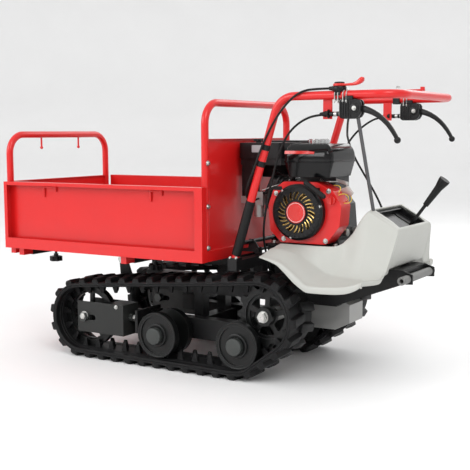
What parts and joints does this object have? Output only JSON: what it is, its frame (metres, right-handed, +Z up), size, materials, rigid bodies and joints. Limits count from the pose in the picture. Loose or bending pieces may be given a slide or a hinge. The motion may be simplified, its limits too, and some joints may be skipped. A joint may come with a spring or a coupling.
{
  "type": "power wheelbarrow",
  "caption": "Walk-behind tracked mini dumper: red load bed with sliding sides and gate that tips forward, petrol engine, rear handlebar with levers.",
  "frame": {"origin": "on the ground under the middle of the machine's bounding box", "axes": "+X forward towards the load bed's front gate, +Y the machine's left side, +Z up"},
  "size_m": [1.5825, 0.648, 0.9605],
  "materials": {
    "red_paint": "gloss",
    "black_paint": "satin",
    "grey_paint": "satin",
    "belt_rubber": "matte",
    "grip_rubber": "matte",
    "bar_rubber": "matte",
    "cast_wheel": "satin",
    "zinc_steel": "satin",
    "steel_rod": "satin",
    "cast_aluminium": "satin",
    "black_plastic": "satin",
    "tank_plastic": "gloss",
    "red_plastic": "gloss",
    "cover_plastic": "satin",
    "bright_chrome": "gloss",
    "black_steel": "satin"
  },
  "bodies": {
    "machine": {"track_belt_left": "belt_rubber", "track_frame_left": "black_paint", "tension_box_left": "grey_paint", "track_belt_right": "belt_rubber", "track_frame_right": "black_paint", "tension_box_right": "grey_paint", "running_gear_axles": "zinc_steel", "chassis_frame": "black_paint", "gearbox": "cast_aluminium", "drive_belt": "belt_rubber", "belt_guard": "black_paint", "engine_block": "cast_aluminium", "fan_cover": "red_paint", "recoil_cover": "black_plastic", "fuel_tank": "tank_plastic", "air_cleaner": "black_plastic", "muffler": "black_steel", "muffler_guard": "black_steel", "carburettor": "cast_aluminium", "oil_plugs": "zinc_steel", "console_cover": "cover_plastic", "console_panel": "black_plastic", "rear_bracket": "black_paint", "rear_bar": "bar_rubber", "handlebar": "red_paint", "lever_perches": "black_plastic", "throttle_housing": "black_plastic", "control_cables": "grip_rubber", "stay_rod": "steel_rod", "pivot_pin": "zinc_steel", "bed_pads": "grip_rubber"},
    "drive_left": {"sprocket_left": "cast_wheel", "half_shaft_left": "zinc_steel"},
    "idler_left": {"idler_left": "cast_wheel"},
    "roller_front_left": {"roller_front_left": "cast_wheel"},
    "roller_rear_left": {"roller_rear_left": "cast_wheel"},
    "clutch_lever_left": {"clutch_lever_left": "black_steel"},
    "side_panel_left": {"side_panel_left": "red_paint"},
    "drive_right": {"sprocket_right": "cast_wheel", "half_shaft_right": "zinc_steel"},
    "idler_right": {"idler_right": "cast_wheel"},
    "roller_front_right": {"roller_front_right": "cast_wheel"},
    "roller_rear_right": {"roller_rear_right": "cast_wheel"},
    "clutch_lever_right": {"clutch_lever_right": "black_steel"},
    "side_panel_right": {"side_panel_right": "red_paint"},
    "front_gate": {"front_gate": "red_paint"},
    "load_bed": {"bed_floor": "red_paint", "bed_subframe": "black_paint", "headboard": "red_paint", "clamp_knobs": "black_plastic"},
    "gearbox_pulley": {"gearbox_pulley": "zinc_steel"},
    "engine_pulley": {"engine_pulley": "zinc_steel"},
    "throttle_lever": {"throttle_lever": "red_plastic"},
    "drive_lever": {"drive_lever": "red_paint"},
    "gear_lever": {"gear_lever": "black_steel", "gear_lever_grip": "grip_rubber"},
    "starter_grip": {"starter_grip": "grip_rubber"},
    "fuel_cap": {"fuel_cap": "bright_chrome"},
    "engine_switch": {"engine_switch": "red_plastic"},
    "bed_latch": {"bed_latch": "black_steel"}
  },
  "joints": [
    {"name": "bed_tip", "type": "hinge", "parent": "machine", "child": "load_bed", "pos_m": [0.39, 0, 0.335], "axis": [0, 1, 0], "range_deg": [0, 40]},
    {"name": "side_panel_left_slide", "type": "slide", "parent": "load_bed", "child": "side_panel_left", "axis": [0, 1, 0], "range_m": [0, 0.12]},
    {"name": "side_panel_right_slide", "type": "slide", "parent": "load_bed", "child": "side_panel_right", "axis": [0, -1, 0], "range_m": [0, 0.12]},
    {"name": "front_gate_slide", "type": "slide", "parent": "load_bed", "child": "front_gate", "axis": [1, 0, 0], "range_m": [0, 0.12]},
    {"name": "track_drive_left", "type": "hinge", "parent": "machine", "child": "drive_left", "pos_m": [-0.294, 0.227, 0.211], "axis": [0, 1, 0], "continuous": true},
    {"name": "idler_left_spin", "type": "hinge", "parent": "machine", "child": "idler_left", "pos_m": [0.43676, 0.227, 0.142], "axis": [0, 1, 0], "continuous": true},
    {"name": "roller_front_left_spin", "type": "hinge", "parent": "machine", "child": "roller_front_left", "pos_m": [0.112, 0.227, 0.111], "axis": [0, 1, 0], "continuous": true},
    {"name": "roller_rear_left_spin", "type": "hinge", "parent": "machine", "child": "roller_rear_left", "pos_m": [-0.207, 0.227, 0.111], "axis": [0, 1, 0], "continuous": true},
    {"name": "track_drive_right", "type": "hinge", "parent": "machine", "child": "drive_right", "pos_m": [-0.294, -0.227, 0.211], "axis": [0, 1, 0], "continuous": true},
    {"name": "idler_right_spin", "type": "hinge", "parent": "machine", "child": "idler_right", "pos_m": [0.43676, -0.227, 0.142], "axis": [0, 1, 0], "continuous": true},
    {"name": "roller_front_right_spin", "type": "hinge", "parent": "machine", "child": "roller_front_right", "pos_m": [0.112, -0.227, 0.111], "axis": [0, 1, 0], "continuous": true},
    {"name": "roller_rear_right_spin", "type": "hinge", "parent": "machine", "child": "roller_rear_right", "pos_m": [-0.207, -0.227, 0.111], "axis": [0, 1, 0], "continuous": true},
    {"name": "gearbox_pulley_spin", "type": "hinge", "parent": "machine", "child": "gearbox_pulley", "pos_m": [-0.4, -0.133, 0.305], "axis": [0, 1, 0], "continuous": true},
    {"name": "engine_pulley_spin", "type": "hinge", "parent": "machine", "child": "engine_pulley", "pos_m": [-0.36, -0.133, 0.542], "axis": [0, 1, 0], "continuous": true},
    {"name": "clutch_lever_left_pull", "type": "hinge", "parent": "machine", "child": "clutch_lever_left", "pos_m": [-0.605, 0.245, 0.868], "axis": [0, 1, 0], "range_deg": [0, 20], "stiffness_Nm_per_rad": 4, "springref_deg": -5.73},
    {"name": "clutch_lever_right_pull", "type": "hinge", "parent": "machine", "child": "clutch_lever_right", "pos_m": [-0.605, -0.245, 0.868], "axis": [0, 1, 0], "range_deg": [0, 20], "stiffness_Nm_per_rad": 4, "springref_deg": -5.73},
    {"name": "throttle_turn", "type": "hinge", "parent": "machine", "child": "throttle_lever", "pos_m": [-0.55, 0.245, 0.934], "axis": [0, 0, 1], "range_deg": [0, 70]},
    {"name": "drive_lever_turn", "type": "hinge", "parent": "machine", "child": "drive_lever", "pos_m": [-0.542, -0.245, 0.935], "axis": [0, 0, 1], "range_deg": [0, 40]},
    {"name": "gear_shift", "type": "hinge", "parent": "machine", "child": "gear_lever", "pos_m": [-0.652, -0.05, 0.478], "axis": [0, 1, 0], "range_deg": [-10, 10]},
    {"name": "starter_pull", "type": "slide", "parent": "machine", "child": "starter_grip", "axis": [0, 1, 0], "range_m": [0, 0.4], "stiffness_N_per_m": 30, "springref_m": -0.1},
    {"name": "fuel_cap_turn", "type": "hinge", "parent": "machine", "child": "fuel_cap", "pos_m": [-0.377, 0.03, 0.765], "axis": [0, 0, 1], "range_deg": [0, 90]},
    {"name": "switch_turn", "type": "hinge", "parent": "machine", "child": "engine_switch", "pos_m": [-0.474, 0.13, 0.584], "axis": [0, 1, 0], "range_deg": [0, 60]},
    {"name": "bed_latch_lift", "type": "hinge", "parent": "machine", "child": "bed_latch", "pos_m": [-0.182, 0, 0.404], "axis": [0, -1, 0], "range_deg": [0, 25]}
  ],
  "couplings": [
    {"joint": "idler_left_spin", "follows": "track_drive_left", "ratio": 0.9711},
    {"joint": "roller_front_left_spin", "follows": "track_drive_left", "ratio": 1.3171},
    {"joint": "roller_rear_left_spin", "follows": "track_drive_left", "ratio": 1.3171},
    {"joint": "idler_right_spin", "follows": "track_drive_right", "ratio": 0.9711},
    {"joint": "roller_front_right_spin", "follows": "track_drive_right", "ratio": 1.3171},
    {"joint": "roller_rear_right_spin", "follows": "track_drive_right", "ratio": 1.3171},
    {"joint": "engine_pulley_spin", "follows": "gearbox_pulley_spin", "ratio": 1.599}
  ]
}
